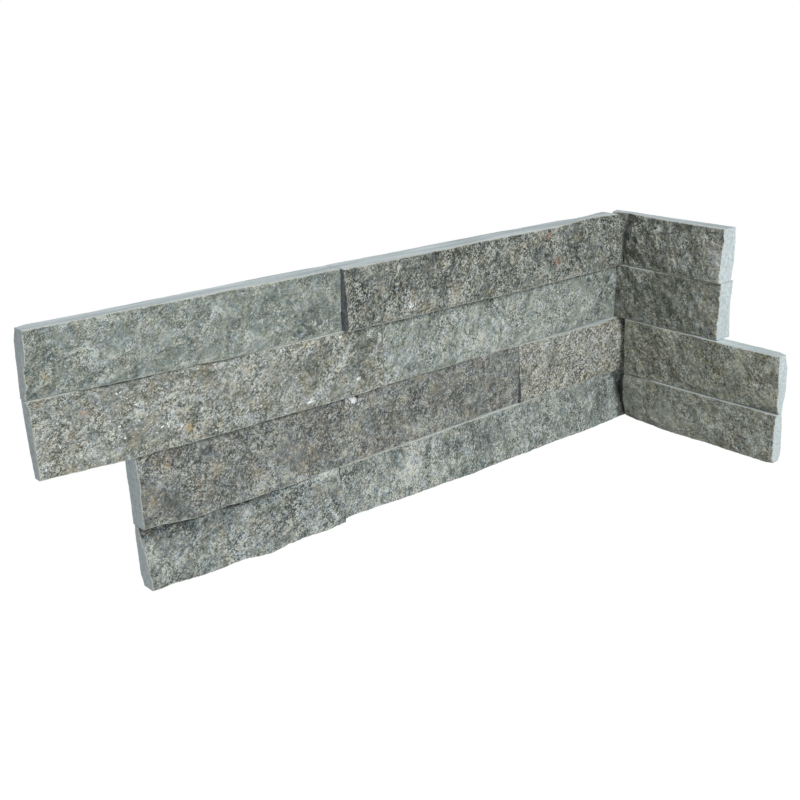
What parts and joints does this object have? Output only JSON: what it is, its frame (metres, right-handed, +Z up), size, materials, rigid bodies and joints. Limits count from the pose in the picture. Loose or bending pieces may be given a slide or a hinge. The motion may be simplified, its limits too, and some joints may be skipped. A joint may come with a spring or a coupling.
{
  "type": "stone cladding corner piece",
  "caption": "Internal corner piece of stone ledger cladding: rows of split quartzite strips on two legs that interlock in the corner, with stepped ends that lock into the next panel.",
  "frame": {"origin": "the line where the two wall planes meet, at the height of the piece's base", "axes": "+Z up, +X along the long leg with its front facing +Y, +Y along the short leg with its front facing +X"},
  "size_m": [0.451, 0.1498, 0.15],
  "materials": {
    "pale_quartzite": "split, rough",
    "dark_quartzite": "split, rough",
    "brown_quartzite": "split, rough",
    "cured_resin": "matte"
  },
  "bodies": {
    "root": {"long_top_outer_strip": "pale_quartzite", "long_top_inner_strip": "dark_quartzite", "long_upper_outer_strip": "pale_quartzite", "long_upper_inner_strip": "pale_quartzite", "long_lower_outer_strip": "dark_quartzite", "long_lower_inner_strip": "brown_quartzite", "long_bottom_outer_strip": "dark_quartzite", "long_bottom_inner_strip": "dark_quartzite", "short_top_strip": "brown_quartzite", "short_upper_strip": "brown_quartzite", "short_lower_strip": "brown_quartzite", "short_bottom_strip": "brown_quartzite", "resin_bed_long_low": "cured_resin", "resin_bed_long_middle": "cured_resin", "resin_bed_long_top": "cured_resin", "resin_bed_short_low": "cured_resin", "resin_bed_short_middle": "cured_resin", "resin_bed_short_top": "cured_resin", "resin_butt_bottom": "cured_resin", "resin_butt_lower": "cured_resin", "resin_butt_upper": "cured_resin", "resin_butt_top": "cured_resin", "resin_corner_bottom": "cured_resin", "resin_corner_lower": "cured_resin", "resin_corner_upper": "cured_resin", "resin_corner_top": "cured_resin"}
  },
  "joints": []
}
